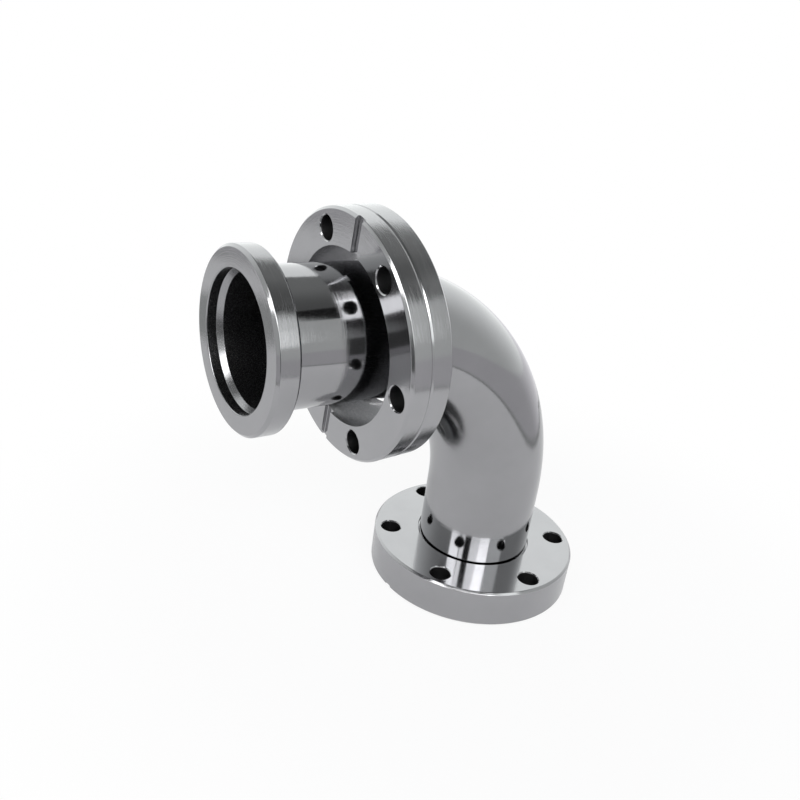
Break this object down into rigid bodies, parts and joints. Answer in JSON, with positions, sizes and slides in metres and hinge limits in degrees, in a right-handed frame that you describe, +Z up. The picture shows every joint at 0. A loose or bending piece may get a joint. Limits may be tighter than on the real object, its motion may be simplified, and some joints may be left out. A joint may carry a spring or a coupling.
{
  "type": "vacuum elbow",
  "caption": "Right-angle vacuum pipe elbow with a fixed bolting flange at the foot and a loose, turning bolt ring behind a welded hub at the mouth.",
  "frame": {"origin": "centre of the fixed flange's sealing face, on the lower leg's axis", "axes": "+Z up the lower leg, away from the fixed flange; the mouth points towards -X"},
  "size_m": [0.1292, 0.0698, 0.128],
  "materials": {
    "flange_steel": "turned and polished stainless steel",
    "tube_steel": "polished stainless steel tube",
    "hub_steel": "turned and polished stainless steel",
    "ring_steel": "turned and polished stainless steel"
  },
  "bodies": {
    "elbow": {"fixed_flange": "flange_steel", "elbow_tube": "tube_steel", "end_hub": "hub_steel"},
    "bolt_ring": {"bolt_ring": "ring_steel"}
  },
  "joints": [
    {"name": "ring_turn", "type": "hinge", "parent": "elbow", "child": "bolt_ring", "pos_m": [-0.0575, 0, 0.09279], "axis": [-0.998, 0, -0.0637], "continuous": true}
  ]
}
